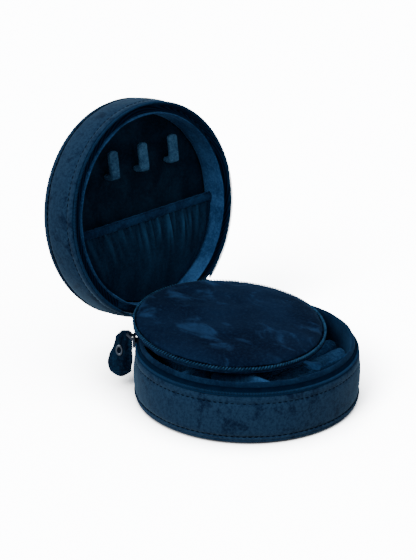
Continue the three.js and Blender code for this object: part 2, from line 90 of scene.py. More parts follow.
def close(piece, merge=1e-6):
    """Merges doubles, drops loose edges, turns the faces outwards and leaves edit mode."""
    bpy.ops.mesh.select_all(action="SELECT")
    bpy.ops.mesh.remove_doubles(threshold=merge)
    bpy.ops.mesh.delete_loose()
    bpy.ops.mesh.select_all(action="SELECT")
    bpy.ops.mesh.normals_make_consistent(inside=False)
    bpy.ops.object.mode_set(mode="OBJECT")
    return piece


def modify(piece, kind, **settings):
    """Adds one modifier and applies it."""
    take(piece)
    step = piece.modifiers.new(kind.lower(), kind)
    for key, value in settings.items():
        setattr(step, key, value)
    bpy.ops.object.modifier_apply(modifier=step.name)
    return piece


def crowned(piece, levels=1):
    """Rounds a piece off by subdividing it."""
    return modify(piece, "SUBSURF", levels=levels, render_levels=levels)


def turned(name, outline, steps=BAND_STEPS, sweep=360.0, begin=0.0, levels=1):
    """A section outline of (radius, height) in millimetres, spun about the upright axis."""
    piece = alone(
        bpy.ops.mesh.primitive_circle_add, name, vertices=len(outline), radius=1
    )
    turn = Matrix.Rotation(math.radians(begin), 3, "Z")
    for vertex, (radius, height) in zip(piece.data.vertices, outline):
        vertex.co = turn @ Vector((radius, 0, height)) * MM
    edit(piece)
    # Spin turns clockwise, so the sweep is negative to run the usual way round.
    bpy.ops.mesh.spin(
        steps=steps, angle=-math.radians(sweep), center=(0, 0, 0), axis=(0, 0, 1)
    )
    if sweep < 360:
        bpy.ops.mesh.select_all(action="SELECT")
        bpy.ops.mesh.fill_holes(sides=0)
    close(piece)
    return crowned(piece, levels) if levels else piece


def rumple(piece, depth, size, seed):
    """Soft unevenness along the normals; depth and size are in millimetres."""
    mesh = piece.data
    count = len(mesh.vertices)
    places, normals = np.empty(count * 3), np.empty(count * 3)
    mesh.vertices.foreach_get("co", places)
    mesh.vertices.foreach_get("normal", normals)
    places, normals = places.reshape(-1, 3), normals.reshape(-1, 3)
    grid = places / (size * MM) + np.array((17.3, 5.1, 9.7)) * seed
    lift = np.array([noise.noise(Vector(p)) for p in grid]) * depth * MM
    mesh.vertices.foreach_set("co", (places + normals * lift[:, None]).ravel())
    mesh.update()
    return piece


class Tap:
    """One socket of a finish, so that shader maths reads as plain arithmetic."""

    def __init__(self, dye, socket):
        self.dye, self.socket = dye, socket

    def _with(self, operation, first, second):
        return self.dye.node(
            "ShaderNodeMath", {"operation": operation}, {0: first, 1: second}
        )

    def __add__(self, other):
        return self._with("ADD", self, other)

    def __radd__(self, other):
        return self._with("ADD", other, self)

    def __mul__(self, other):
        return self._with("MULTIPLY", self, other)

    def __rmul__(self, other):
        return self._with("MULTIPLY", other, self)


class Dye:
    """One finish: its shader, the constants set on it, and a method for any other node."""

    def __init__(self, name, **constants):
        self.material = bpy.data.materials.new(name)
        self.material.use_nodes = True
        self.tree = self.material.node_tree
        self.shader = self.tree.nodes["Principled BSDF"]
        for socket, value in constants.items():
            self.shader.inputs[socket.replace("_", " ")].default_value = value

    def node(self, kind, settings=None, sockets=None, out=0):
        made = self.tree.nodes.new(kind)
        for key, value in (settings or {}).items():
            if key == "stops":
                ramp = made.color_ramp
                while len(ramp.elements) < len(value):
                    ramp.elements.new(0.5)
                for element, (at, colour) in zip(ramp.elements, value):
                    element.position, element.color = at, (*colour, 1)
            else:
                setattr(made, key, value)
        for key, value in (sockets or {}).items():
            self.join(made.inputs[key], value)
        return Tap(self, made.outputs[out])

    def join(self, socket, value):
        if isinstance(value, Tap):
            self.tree.links.new(value.socket, socket)
        else:
            socket.default_value = value

    def feed(self, name, value):
        self.join(self.shader.inputs[name], value)

    def place(self, stretch=(1, 1, 1), turn=(0, 0, 0)):
        here = self.node("ShaderNodeTexCoord", out="Object")
        return self.node(
            "ShaderNodeMapping", None, {"Vector": here, "Rotation": turn, "Scale": stretch}
        )

    def cloud(self, place, scale, detail=2.0, roughness=0.5, twist=0.0):
        """Noise whose features are about 1 / scale metres across."""
        return self.node(
            "ShaderNodeTexNoise",
            None,
            {"Vector": place, "Scale": scale, "Detail": detail,
             "Roughness": roughness, "Distortion": twist},
        )

    def between(self, factor, low, high):
        """A clean step of a factor from 0 at low to 1 at high."""
        return self.node(
            "ShaderNodeMapRange",
            {"interpolation_type": "SMOOTHSTEP"},
            {"Value": factor, "From Min": low, "From Max": high},
        )

    def blend(self, factor, first, second):
        """A mix of two colours; a colour is a link or three numbers."""
        def rgba(c):
            return c if isinstance(c, Tap) else (*c, 1)
        return self.node(
            "ShaderNodeMix",
            {"data_type": "RGBA"},
            {0: factor, 6: rgba(first), 7: rgba(second)},
            out=2,
        )

    def bump(self, height, strength, distance):
        return self.node(
            "ShaderNodeBump",
            None,
            {"Height": height, "Strength": strength, "Distance": distance},
        )


def velvet(name, deep, mid, lit, patch=75, low=0.38, high=0.66, stretch=(1, 1, 1),
           turn=(0, 0, 0), sheen=0.45, tint=(0.09, 0.25, 0.50), nap=0.35, grain=0.6,
           highlight_mask=None):
    """Short-pile velvet: crushed patches, a fine uneven nap and a cool sheen at grazing angles."""
    dye = Dye(name, Roughness=0.92, Sheen_Weight=sheen, Sheen_Roughness=0.38,
              Sheen_Tint=(*tint, 1), Specular_IOR_Level=0.06)
    here = dye.place()
    laid = dye.place(stretch, turn)
    crush = dye.between(dye.cloud(laid, patch, 4.0, 0.55, 0.6), low, high)
    soft = dye.between(dye.cloud(laid, patch * 0.32, 2.0), 0.35, 0.65)
    pile = dye.cloud(here, 1500, 3.0, 0.7)
    body = dye.blend(crush * 0.75 + soft * 0.25, deep, mid)
    tuft = dye.cloud(here, 620, 3.0, 0.65)
    fleck = dye.between(pile * 0.45 + tuft * 0.55 + crush * 0.12, 0.44, 0.72)
    colour = dye.blend(fleck * grain, body, lit)
    # A highlight mask paints the ridges lighter, standing in for light catching the folds: a
    # painted highlight.
    if highlight_mask:  # painted highlight: lighter along the ridges, from the piece's own attribute
        ridge = dye.node("ShaderNodeAttribute", {"attribute_name": highlight_mask}, out="Fac")
        colour = dye.blend(ridge * (0.55 + tuft * 0.45), colour, lit)
    dye.feed("Base Color", colour)
    dye.feed("Roughness", 0.8 + pile * 0.18)
    tufts = pile * 0.5 + tuft * 0.5
    dye.feed("Normal", dye.bump(tufts, nap, 0.0006))
    return dye.material


def fit(piece, body, slot, finish, *nodes):
    """Gives a piece its finish, hides the made parts it stands in for and lets it ride."""
    piece.data.materials.clear()
    piece.data.materials.append(finish)
    take(piece)
    bpy.ops.object.shade_smooth()
    if nodes:
        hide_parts(*nodes)
    if body:
        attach(piece, body)
    return piece


def stitched(name, radius, height, length, thick, count, lean=0.0, out=1.0,
             sweep=360.0, begin=0.0):
    """A row of small oval stitches spun round the case, one mesh for the whole row."""
    row = alone(
        bpy.ops.mesh.primitive_uv_sphere_add, name, segments=6, ring_count=4, radius=1
    )
    size = Matrix.Diagonal((thick / 2 * out, length / 2, thick / 2))
    shape = Matrix.Rotation(math.radians(lean), 3, "X") @ size
    turn = Matrix.Rotation(math.radians(begin), 3, "Z")
    for vertex in row.data.vertices:
        vertex.co = turn @ (shape @ vertex.co + Vector((radius, 0, height))) * MM
    edit(row)
    bpy.ops.mesh.spin(
        steps=count, angle=-math.radians(sweep), center=(0, 0, 0), axis=(0, 0, 1),
        dupli=True,
    )
    return close(row, 1e-7)


def band_outline(height, inside):
    """The band's section, measured up from the closed side of its half of the case."""
    return [(59.7, 3.9), (60.6, 4.6), (61.1, 7.5), (61.2, height * 0.5),
            (60.95, height - 7.0), (60.5, height - 4.8), (59.95, height - SEAM_DROP),
            (60.35, height - 2.9), (60.35, height - 1.3), (59.8, height - 0.1),
            (58.7, height + 0.15), (inside, height - 0.4), (inside, height * 0.5),
            (inside, 4.2)]


outer_velvet = velvet(
    "outer_velvet", (0.0018, 0.0098, 0.034), (0.0040, 0.0185, 0.054), (0.030, 0.080, 0.155),
    patch=120, low=0.30, high=0.50, sheen=1.0, tint=(0.18, 0.30, 0.42), grain=0.5,
)
thread = Dye("navy_thread", Roughness=0.9, Specular_IOR_Level=0.0)
twist = thread.cloud(thread.place(), 1800, 1.0)
thread.feed("Base Color", thread.blend(twist, (0.0005, 0.0024, 0.009), (0.0018, 0.0075, 0.024)))
thread.feed("Normal", thread.bump(twist, 0.4, 0.0002))
navy_thread = thread.material

base_band = turned("base_band_velvet", band_outline(BASE_TOP, 57.9), levels=2)
rumple(base_band, 0.35, 14, 1)
rumple(base_band, 0.12, 4, 2)
fit(base_band, "base", "outer_velvet", outer_velvet, "base_outer_band")
seam_count = round(math.tau * 59.8 / STITCH_PITCH)
base_seam = stitched(
    "base_top_stitches", SEAM_R, BASE_TOP - SEAM_DROP, SEAM_STITCH, SEAM_THREAD, seam_count
)
fit(base_seam, "base", "outer_velvet", navy_thread)

# The base's underside: a card disc covered in the same velvet and drawn up over the rim, where a
# rolled welt is sewn between it and the band with a row of close stitches.


def panel_outline(puff):
    """The covered disc and its welt; puff lifts or sinks the outer face's middle."""
    return [(0, puff), (30, puff), (54.5, puff * 0.6), (58.6, 0.1), (60.2, 0.7), (60.7, 1.6),
            (60.1, 2.3), (60.75, 2.6), (61.1, 3.05), (61.0, 3.6), (60.4, 3.95),
            (58.8, 3.8), (57.8, 2.2), (30, 1.9), (0, 1.9)]


base_under = turned("base_under_velvet", panel_outline(0.0), levels=1)
fit(base_under, "base", "outer_velvet", outer_velvet, "base_bottom_panel", "base_bottom_welt")
welt_seam = stitched(
    "base_welt_stitches", WELT_R, WELT_HEIGHT, WELT_STITCH, WELT_THREAD, seam_count
)
fit(welt_seam, "base", "outer_velvet", navy_thread)

# The base's lining: plain velvet over thin foam, standing inside the band and rolled over the rim
# as a soft collar that the lid closes around, with a foam pad on the floor.
lining_velvet = velvet(
    "lining_velvet", (0.0042, 0.026, 0.086), (0.015, 0.068, 0.188), (0.042, 0.14, 0.33),
    patch=48, low=0.3, high=0.75, sheen=0.5, nap=0.25,
)
collar_velvet = velvet(
    "collar_velvet", (0.0012, 0.009, 0.032), (0.0040, 0.024, 0.070), (0.016, 0.065, 0.155),
    patch=60, low=0.3, high=0.72, sheen=0.45, nap=0.25, grain=0.3,
)
collar = turned(
    "base_lining_collar",
    [(57.55, 27.0), (57.65, 29.5), (57.65, 31.8), (57.25, 33.0), (56.6, 33.2),
     (56.05, 32.8), (55.8, 31.6), (55.75, 29.5), (55.95, 26.0), (56.0, 15.0),
     (56.0, 4.4), (56.8, 4.25), (57.5, 4.4), (57.5, 15.0), (57.5, 24.0)],
    levels=1,
)
rumple(collar, 0.2, 9, 3)
fit(collar, "base", "lining_velvet", collar_velvet, "base_wall_lining", "base_collar")
floor_pad = turned(
    "base_floor_padding",
    [(0, 2.25), (30, 2.25), (56.5, 2.3), (57.3, 2.7), (57.4, 3.4), (56.8, 3.9),
     (50, 4.05), (25, 4.0), (0, 4.0)],
    levels=1,
)
rumple(floor_pad, 0.15, 10, 4)
fit(floor_pad, "base", "lining_velvet", lining_velvet, "base_floor_pad")

# The dividers: card walls padded and covered in velvet. The long one runs from front to back, one
# short wall splits the left side, and another closes the ring cushion off from the rear.
WALL_R = 55.6


def padded_wall(name, low, high, cuts, edge, crown=0.0, levels=2):
    """A block with rounded edges and a crowned top; its ends stop at the round wall."""
    piece = alone(bpy.ops.mesh.primitive_cube_add, name, size=1)
    low, high = Vector(low), Vector(high)
    for vertex in piece.data.vertices:
        for k in range(3):
            vertex.co[k] = (low[k] if vertex.co[k] < 0 else high[k]) * MM
    edit(piece)
    bpy.ops.mesh.bevel(offset=edge * MM, segments=2, affect="EDGES")
    bpy.ops.object.mode_set(mode="OBJECT")
    cell = max(high - low) * MM / cuts
    for k in range(3):
        span = (high[k] - low[k]) * MM
        for n in range(1, max(2, round(span / cell))):
            edit(piece)
            at, face = Vector((0, 0, 0)), Vector((0, 0, 0))
            at[k] = low[k] * MM + span * n / max(2, round(span / cell))
            face[k] = 1
            bpy.ops.mesh.bisect(plane_co=at, plane_no=face)
            bpy.ops.object.mode_set(mode="OBJECT")
    middle = (low + high) / 2 * MM
    half = (high - low) / 2 * MM
    for vertex in piece.data.vertices:
        across = [(vertex.co[k] - middle[k]) / half[k] for k in range(3)]
        if across[2] > 0.9 and crown:
            vertex.co.z += crown * MM * (1 - across[0] ** 2) * (1 - across[1] ** 2)
    return crowned(piece, levels)


def to_wall(piece, reach=WALL_R, side=1):
    """Lets the end of a block follow the round wall: x is drawn in where it would pass it."""
    xs = [v.co.x for v in piece.data.vertices]
    root = min(xs) if side > 0 else max(xs)
    tip = max(xs) if side > 0 else min(xs)
    for vertex in piece.data.vertices:
        wall = side * math.sqrt(max((reach * MM) ** 2 - vertex.co.y ** 2, 1e-8))
        vertex.co.x = root + (vertex.co.x - root) * (wall - root) / (tip - root)
    return piece


long_wall = padded_wall("long_divider", (-26.6, -48.9, 4.2), (-23.4, 48.9, 27.9), 16, 1.2)
rumple(long_wall, 0.3, 9, 5)
fit(long_wall, "base", "lining_velvet", lining_velvet, "divider_long")
left_wall = to_wall(
    padded_wall("left_divider", (-55.4, 0.4, 4.2), (-26.75, 3.6, 26.7), 6, 1.2), side=-1
)
rumple(left_wall, 0.25, 8, 6)
fit(left_wall, "base", "lining_velvet", lining_velvet, "divider_left")
rear_wall = to_wall(
    padded_wall("rear_divider", (-23.2, 20.4, 4.2), (50.3, 23.5, 27.9), 14, 1.2)
)
rumple(rear_wall, 0.25, 8, 7)
fit(rear_wall, "base", "lining_velvet", lining_velvet, "divider_rear")

# The ring cushion: a velvet-covered card tray front, and behind it five soft rolls of foam in
# velvet, pressed against each other so that rings are held in the slots between them.
ROLL_COUNT, ROLL_PITCH, FIRST_ROLL, ROLL_W = 5, 10.34, -31.6, 9.95
ROLL_INSET, ROLL_REACH = 0.45, 57.0
CLOTH_STEPS = 20
cushion_velvet = velvet(
    "cushion_velvet", (0.0050, 0.030, 0.100), (0.018, 0.085, 0.230), (0.07, 0.20, 0.44),
    patch=60, low=0.3, high=0.72, sheen=0.55, nap=0.25,
)
tray_front = to_wall(
    padded_wall("tray_front", (-23.2, -34.5, 4.2), (43.5, -31.9, 19.0), 12, 0.9)
)
fit(tray_front, "base", "lining_velvet", lining_velvet, "ring_tray_front")


def swell(piece, voxel, pressure, cap, level=1):
    """Stuffs a pad: the mesh is remeshed, blown up as cloth, capped and smoothed."""
    modify(piece, "REMESH", mode="VOXEL", voxel_size=voxel * MM)
    before = [v.co.copy() for v in piece.data.vertices]
    take(piece)
    cloth = piece.modifiers.new("cloth", "CLOTH")
    cloth.settings.quality = 5
    cloth.settings.mass = 0.02
    cloth.settings.use_pressure = True
    cloth.settings.uniform_pressure_force = pressure
    cloth.settings.tension_stiffness = 12
    cloth.settings.compression_stiffness = 12
    cloth.settings.bending_stiffness = 0.4
    cloth.settings.effector_weights.gravity = 0
    cloth.collision_settings.use_collision = False
    cloth.point_cache.frame_start, cloth.point_cache.frame_end = 1, CLOTH_STEPS
    for step in range(1, CLOTH_STEPS + 1):
        bpy.context.scene.frame_set(step)
    shaped = piece.evaluated_get(bpy.context.evaluated_depsgraph_get()).to_mesh()
    after = [v.co.copy() for v in shaped.vertices]
    take(piece)
    piece.modifiers.remove(cloth)
    bpy.context.scene.frame_set(1)
    for vertex, old, new in zip(piece.data.vertices, before, after):
        move = new - old
        if move.length > cap * MM:
            move *= cap * MM / move.length
        vertex.co = old + move
    return crowned(piece, level)


for n in range(ROLL_COUNT):
    y = FIRST_ROLL + ROLL_PITCH * (n + 0.5)
    roll = to_wall(
        padded_wall(
            f"ring_roll_{n + 1}_pad",
            (-23.0, y - ROLL_W / 2 + ROLL_INSET, 4.3),
            (54.0, y + ROLL_W / 2 - ROLL_INSET, 19.2),
            14, 3.0, 0.3, levels=1,
        ),
        ROLL_REACH,
    )
    swell(roll, 1.6, 4.0, 0.6)
    rumple(roll, 0.5, 8, 10 + n)
    fit(roll, "base", "lining_velvet", cushion_velvet, f"ring_roll_{n + 1}")

# Behind the rear compartment a velvet-covered block carries the tape on which the inner flap
# hangs; the tape is sewn down along its top edge.
BLOCK_BACK_R, BLOCK_BACK_Y = 55.4, 50.5
block = padded_wall("tape_block_pad", (-23.0, 47.7, 4.3), (28.6, 52.5, 26.9), 10, 1.0)
for vertex in block.data.vertices:  # the back face follows the round wall
    if vertex.co.y > BLOCK_BACK_Y * MM:
        wall = math.sqrt((BLOCK_BACK_R * MM) ** 2 - vertex.co.x ** 2)
        vertex.co.y = max(vertex.co.y, wall)
fit(block, "base", "lining_velvet", lining_velvet, "tape_block")
anchor = padded_wall("tape_anchor_fold", (-10.0, 51.1, 27.05), (10.0, 54.3, 28.5), 8, 0.5)
fit(anchor, "base", "lining_velvet", lining_velvet, "tape_anchor")
TAPE_FOOT = Vector((0, 49.2, 29.2)) * MM
TAPE_BACK, TAPE_RISE = 3.0, 7.1
hinge_tape = padded_wall("flap_hinge_tape", (-10.0, -0.5, 0.0), (10.0, 0.5, 8.3), 8, 0.4)
tape_lean = Matrix.Rotation(-math.atan2(TAPE_BACK, TAPE_RISE), 4, "X")
hinge_tape.data.transform(Matrix.Translation(TAPE_FOOT) @ tape_lean)
fit(hinge_tape, "flap_link", "lining_velvet", lining_velvet, "flap_tape")

# The zip: a woven tape beside each half's edge and a nylon coil sewn on it, whose turns show as
# fine upright ridges. It runs round the front and ends at a metal stop on each side of the hinge.
ZIP_FROM, ZIP_ARC = 126.0, 288.0
TAPE_STEPS = 80
COIL_R, COIL_TURNS, COIL_TURN_H, COIL_WIRE, COIL_OUT = 59.35, 400, 0.64, 1.5, 1.15
BASE_COIL_Z, LID_COIL_Z = 27.8, 29.65
tape = Dye("zip_weave", Roughness=0.9, Specular_IOR_Level=0.05, Sheen_Weight=0.12,
           Sheen_Tint=(0.05, 0.2, 0.5, 1), Specular_Tint=(0.2, 0.5, 1, 1))
rib = tape.node(
    "ShaderNodeTexWave", {"wave_type": "RINGS", "rings_direction": "Z"},
    {"Vector": tape.place(), "Scale": 260, "Distortion": 0.6, "Detail": 1.0},
)
tape.feed("Base Color", tape.blend(rib, (0.0006, 0.0045, 0.016), (0.0040, 0.022, 0.062)))
tape.feed("Normal", tape.bump(rib, 0.35, 0.0002))
zip_weave = tape.material
coil = Dye("zip_nylon", Roughness=0.6, Specular_IOR_Level=0.22,
           Specular_Tint=(0.25, 0.55, 1, 1))
grime = coil.cloud(coil.place(), 500, 2.0)
coil.feed("Base Color", coil.blend(grime, (0.0030, 0.017, 0.052), (0.0130, 0.056, 0.140)))
coil.feed("Roughness", 0.5 + grime * 0.2)
zip_nylon = coil.material
TAPE_SECTION = [(57.95, 26.6), (57.95, 25.2), (58.8, 25.9), (59.8, 26.3), (60.0, 26.75),
                (59.85, 27.3), (58.9, 27.35), (58.45, 27.6), (58.3, 28.6), (58.2, 30.3),
                (57.9, 30.75), (57.7, 30.3)]
base_tape = turned(
    "base_zip_weave", TAPE_SECTION, steps=TAPE_STEPS, sweep=ZIP_ARC, begin=ZIP_FROM, levels=1
)
fit(base_tape, "base", "zip_fabric", zip_weave, "base_zip_tape")
base_coil = stitched(
    "base_zip_turns", COIL_R, BASE_COIL_Z, COIL_TURN_H, COIL_WIRE, COIL_TURNS, out=COIL_OUT,
    sweep=ZIP_ARC, begin=ZIP_FROM,
)
fit(base_coil, "base", "zip_coil", zip_nylon, "base_zip_coil")

# The zip's hard parts: painted metal stops, the slider with its bail, and the loose ring the
# pull tab hangs from. They keep their made shapes and get a worn dark metal.
metal = Dye("zip_metal", Metallic=1.0, Roughness=0.3)
rub = metal.cloud(metal.place(), 900, 3.0)
metal.feed("Base Color", metal.blend(rub, (0.05, 0.07, 0.11), (0.16, 0.19, 0.25)))
metal.feed("Roughness", 0.22 + rub * 0.25)
bright = Dye("eyelet_metal", Metallic=1.0, Roughness=0.3)
rub = bright.cloud(bright.place(), 900, 3.0)
bright.feed("Base Color", bright.blend(rub, (0.14, 0.18, 0.24), (0.30, 0.35, 0.42)))
bright.feed("Roughness", 0.25 + rub * 0.3)


def refinish(node, finish):
    """A made part keeps its own mesh and only gets a finish."""
    data = bpy.data.objects[node].data
    data.materials.clear()
    data.materials.append(finish)


for node in ("zip_stop_left", "zip_stop_right", "zip_slider", "zip_slider_bail", "pull_ring"):
    refinish(node, metal.material)
refinish("pull_tab_eyelet", bright.material)

# The pull tab: a strip of the case's satin-backed velvet gathered into the ring, pleated down its
# length and hemmed across the bottom, with a pale metal eyelet near the top.
TAB_ANGLE = math.radians(130)
TAB_LOW, TAB_TALL = 10.2, 24.3
TAB_HEM_R, TAB_HEM_Z, TAB_HEM_TALL = 68.6, 7.0, 3.9
satin = velvet(
    "tab_satin", (0.0006, 0.0045, 0.016), (0.0034, 0.019, 0.052), (0.012, 0.050, 0.11),
    patch=170, low=0.3, high=0.7, stretch=(1, 1, 0.2), sheen=0.16, nap=0.15,
)


def gridded(name, columns, rows, where):
    """A sheet of columns by rows cells whose points are set by where(across, along)."""
    piece = alone(
        bpy.ops.mesh.primitive_grid_add, name, size=2,
        x_subdivisions=columns, y_subdivisions=rows,
    )
    for vertex in piece.data.vertices:
        across, along = vertex.co.x / 2 + 0.5, vertex.co.y / 2 + 0.5
        vertex.co = Vector(where(across, along)) * MM
    return piece


def through(stops, t):
    """A smooth value at t through a list of (t, value) stops."""
    for (t0, a), (t1, b) in zip(stops, stops[1:]):
        if t <= t1:
            s = min(max((t - t0) / (t1 - t0), 0), 1)
            return a + (b - a) * s * s * (3 - 2 * s)
    return stops[-1][1]


def sealed(tube):
    """Joins a rolled-up sheet along its seam, caps its ends and rounds it off."""
    edit(tube)
    bpy.ops.mesh.remove_doubles(threshold=1e-6)
    bpy.ops.mesh.fill_holes(sides=0)
    close(tube)
    return crowned(tube)


def tab_point(around, up):
    """The tab's skin as (distance from the case's axis, sideways, height), pleated lengthwise."""
    z = TAB_LOW + TAB_TALL * up
    inner = through([(0, 62.8), (0.3, 62.0), (0.65, 62.0), (0.85, 62.4), (1, 63.6)], up)
    outer = through(
        [(0, 74.8), (0.22, 75.9), (0.4, 74.7), (0.65, 72.3), (0.82, 71.2), (1, 67.8)], up
    )
    thick = through([(0, 1.7), (0.3, 1.9), (0.7, 1.6), (0.88, 1.2), (1, 0.6)], up)
    angle = math.tau * around
    ripple = 0.40 * math.sin(7 * angle + 0.8) + 0.16 * math.sin(11 * angle)
    pleat = 1 + ripple * (0.4 + 0.6 * up)
    radius = (inner + outer) / 2 + (outer - inner) / 2 * math.cos(angle)
    side = thick * math.sin(angle) * pleat
    return radius, side, z


def at_tab(point):
    """Turns such a point round to where the slider stands on the rim."""
    radius, side, z = point
    return (radius * math.cos(TAB_ANGLE) - side * math.sin(TAB_ANGLE),
            radius * math.sin(TAB_ANGLE) + side * math.cos(TAB_ANGLE), z)


tab = gridded("pull_tab_cloth", 40, 22, lambda u, v: at_tab(tab_point(u, v)))
sealed(tab)
rumple(tab, 0.35, 4, 21)
fit(tab, "zip_tab", "tab_satin", satin, "pull_tab")


def hem_point(around, up):
    """The folded hem across the tab's foot, drawn up a little at both corners."""
    z = TAB_HEM_Z + TAB_HEM_TALL * up
    angle = math.tau * around
    low = 1 - (1 - up) ** 2
    radius = TAB_HEM_R + (3.6 + 2.5 * low) * math.cos(angle)
    lift = 1.7 * (1 - up) * math.cos(angle) ** 2
    return radius, (1.1 + 0.9 * low) * math.sin(angle), z + lift


hem = gridded("pull_tab_hem_fold", 32, 6, lambda u, v: at_tab(hem_point(u, v)))
sealed(hem)
fit(hem, "zip_tab", "tab_satin", satin, "pull_tab_hem")

# The lid: built like the base, a velvet band and a covered disc with a welt between them, set
# with its stitched edge to the zip. It is made shut over the base and then swung to its rest.
HINGE = Vector((0, 59.5, 28.7)) * MM
LID_OPEN = 97.94
SWING = (Matrix.Translation(HINGE) @ Matrix.Rotation(math.radians(-LID_OPEN), 4, "X")
         @ Matrix.Translation(-HINGE))


def flipped(outline):
    """A section measured down from the lid's far side."""
    return [(radius, LID_TOP - height) for radius, height in outline]


def swung(piece):
    """Opens a piece of the shut lid to its rest."""
    piece.data.transform(SWING)
    return piece


lid_band = turned("lid_band_velvet", flipped(band_outline(LID_BAND_H, 58.4)), levels=2)
rumple(lid_band, 0.35, 14, 31)
rumple(lid_band, 0.12, 4, 32)
fit(swung(lid_band), "lid", "outer_velvet", outer_velvet, "lid_outer_band")
lid_seam = stitched(
    "lid_edge_stitches", SEAM_R, LID_TOP - LID_BAND_H + SEAM_DROP, SEAM_STITCH, SEAM_THREAD,
    seam_count,
)
fit(swung(lid_seam), "lid", "outer_velvet", navy_thread)
lid_back = turned("lid_back_velvet", flipped(panel_outline(-1.1)), levels=1)
fit(swung(lid_back), "lid", "outer_velvet", outer_velvet, "lid_top_panel", "lid_top_welt")
lid_welt_seam = stitched(
    "lid_welt_stitches", WELT_R, LID_TOP - WELT_HEIGHT, WELT_STITCH, WELT_THREAD, seam_count
)
fit(swung(lid_welt_seam), "lid", "outer_velvet", navy_thread)

lid_tape = turned(
    "lid_zip_weave",
    [(58.45, 30.6), (58.9, 30.1), (59.85, 30.1), (60.0, 30.65), (59.8, 31.2), (58.9, 31.5),
     (58.5, 33.5), (58.25, 34.9), (57.4, 34.95), (55.6, 34.1), (54.3, 32.9), (53.9, 31.9),
     (54.2, 31.75), (54.8, 32.5), (55.9, 33.5), (57.2, 34.2), (57.85, 33.9), (58.1, 32.2)],
    steps=TAPE_STEPS, sweep=ZIP_ARC, begin=ZIP_FROM, levels=1,
)
fit(swung(lid_tape), "lid", "zip_fabric", zip_weave, "lid_zip_tape")
lid_coil = stitched(
    "lid_zip_turns", COIL_R, LID_COIL_Z, COIL_TURN_H, COIL_WIRE, COIL_TURNS, out=COIL_OUT,
    sweep=ZIP_ARC, begin=ZIP_FROM,
)
fit(swung(lid_coil), "lid", "zip_coil", zip_nylon, "lid_zip_coil")

# The lid's lining: a padded velvet wall that swells into a soft roll at the mouth, and a dark
# padded back, all glued into the shell.
dark_velvet = velvet(
    "dark_velvet", (0.0014, 0.006, 0.016), (0.0044, 0.019, 0.044), (0.012, 0.046, 0.095),
    patch=60, low=0.35, high=0.75, sheen=0.22, nap=0.25, grain=0.3,
)
lid_lining = turned(
    "lid_padded_wall",
    [(57.9, 35.6), (56.8, 35.1), (55.4, 34.3), (54.3, 33.1), (53.95, 31.4), (53.75, 30.2),
     (53.35, 29.9), (53.05, 31.0), (53.05, 34.2), (53.3, 36.3), (53.2, 37.6), (52.7, 40.5),
     (52.8, 44.5), (53.4, 46.2), (56.0, 46.5), (57.9, 46.3), (58.1, 41.0)],
    levels=1,
)
rumple(lid_lining, 0.4, 9, 33)
fit(swung(lid_lining), "lid", "lining_velvet", lining_velvet,
    "lid_lining_roll", "lid_wall_lining")
lid_pad = turned(
    "lid_back_padding",
    [(0, 46.6), (25, 46.6), (48, 46.65), (55, 46.75), (57.7, 47.2), (57.9, 49.5),
     (57.6, 52.2), (30, 52.5), (0, 52.5)],
    levels=1,
)
rumple(lid_pad, 0.3, 12, 34)
fit(swung(lid_pad), "lid", "lining_velvet", dark_velvet, "lid_backing_pad")

# Three necklace hooks: card J-shapes padded and covered in velvet, glued to the lid's back with
# their rounded fingers pointing up when the lid stands open.
hook_velvet = velvet(
    "hook_velvet", (0.012, 0.042, 0.098), (0.028, 0.090, 0.185), (0.08, 0.20, 0.35),
    patch=120, low=0.3, high=0.7, sheen=0.5, nap=0.25,
)
HOOK_W, HOOK_LONG, HOOK_THICK = 6.6, 16.8, 2.6
HOOK_Y, HOOK_Z, HOOK_FOOT_Y = -29.0, 39.7, -23.9


def hook(name, x):
    """A J of padded card: a flat finger with a foot at its root that reaches the lid's back."""
    piece = alone(bpy.ops.mesh.primitive_cube_add, name, size=1)
    for vertex in piece.data.vertices:
        vertex.co = Vector((
            x + HOOK_W * vertex.co.x,
            HOOK_Y + HOOK_LONG * vertex.co.y,
            HOOK_Z + HOOK_THICK * vertex.co.z,
        )) * MM
    for y in (-36.6, -33.5, -28.5, HOOK_FOOT_Y):
        edit(piece)
        bpy.ops.mesh.bisect(plane_co=(0, y * MM, 0), plane_no=(0, 1, 0))
        bpy.ops.object.mode_set(mode="OBJECT")
    edit(piece)
    bpy.ops.mesh.select_all(action="DESELECT")
    bpy.ops.mesh.select_mode(type="FACE")
    shape = bmesh.from_edit_mesh(piece.data)
    for face in shape.faces:
        behind = face.calc_center_median().y > HOOK_FOOT_Y * MM
        face.select = face.normal.z > 0.9 and behind
    bmesh.update_edit_mesh(piece.data)
    for lift in (2.0, 3.4):
        bpy.ops.mesh.extrude_region_move(
            TRANSFORM_OT_translate={"value": (0, 0, lift * MM)}
        )
    bpy.ops.mesh.select_mode(type="VERT")
    bpy.ops.object.mode_set(mode="OBJECT")
    edit(piece)
    bpy.ops.mesh.bisect(plane_co=((x - 1.6) * MM, 0, 0), plane_no=(1, 0, 0))
    bpy.ops.mesh.select_all(action="SELECT")
    bpy.ops.mesh.bisect(plane_co=((x + 1.6) * MM, 0, 0), plane_no=(1, 0, 0))
    close(piece)
    for vertex in piece.data.vertices:  # the finger's end is cut round
        if vertex.co.y < -36 * MM:
            side = abs(vertex.co.x - x * MM) / (HOOK_W / 2 * MM)
            vertex.co.y += 1.9 * MM * side * side
    return crowned(piece, 2)


for n, x in enumerate((-18.6, 3.4, 26.4)):
    piece = rumple(hook(f"hook_{n + 1}_padded", x), 0.25, 5, 41 + n)
    fit(swung(piece), "lid", "lining_velvet", hook_velvet, f"necklace_hook_{n + 1}")
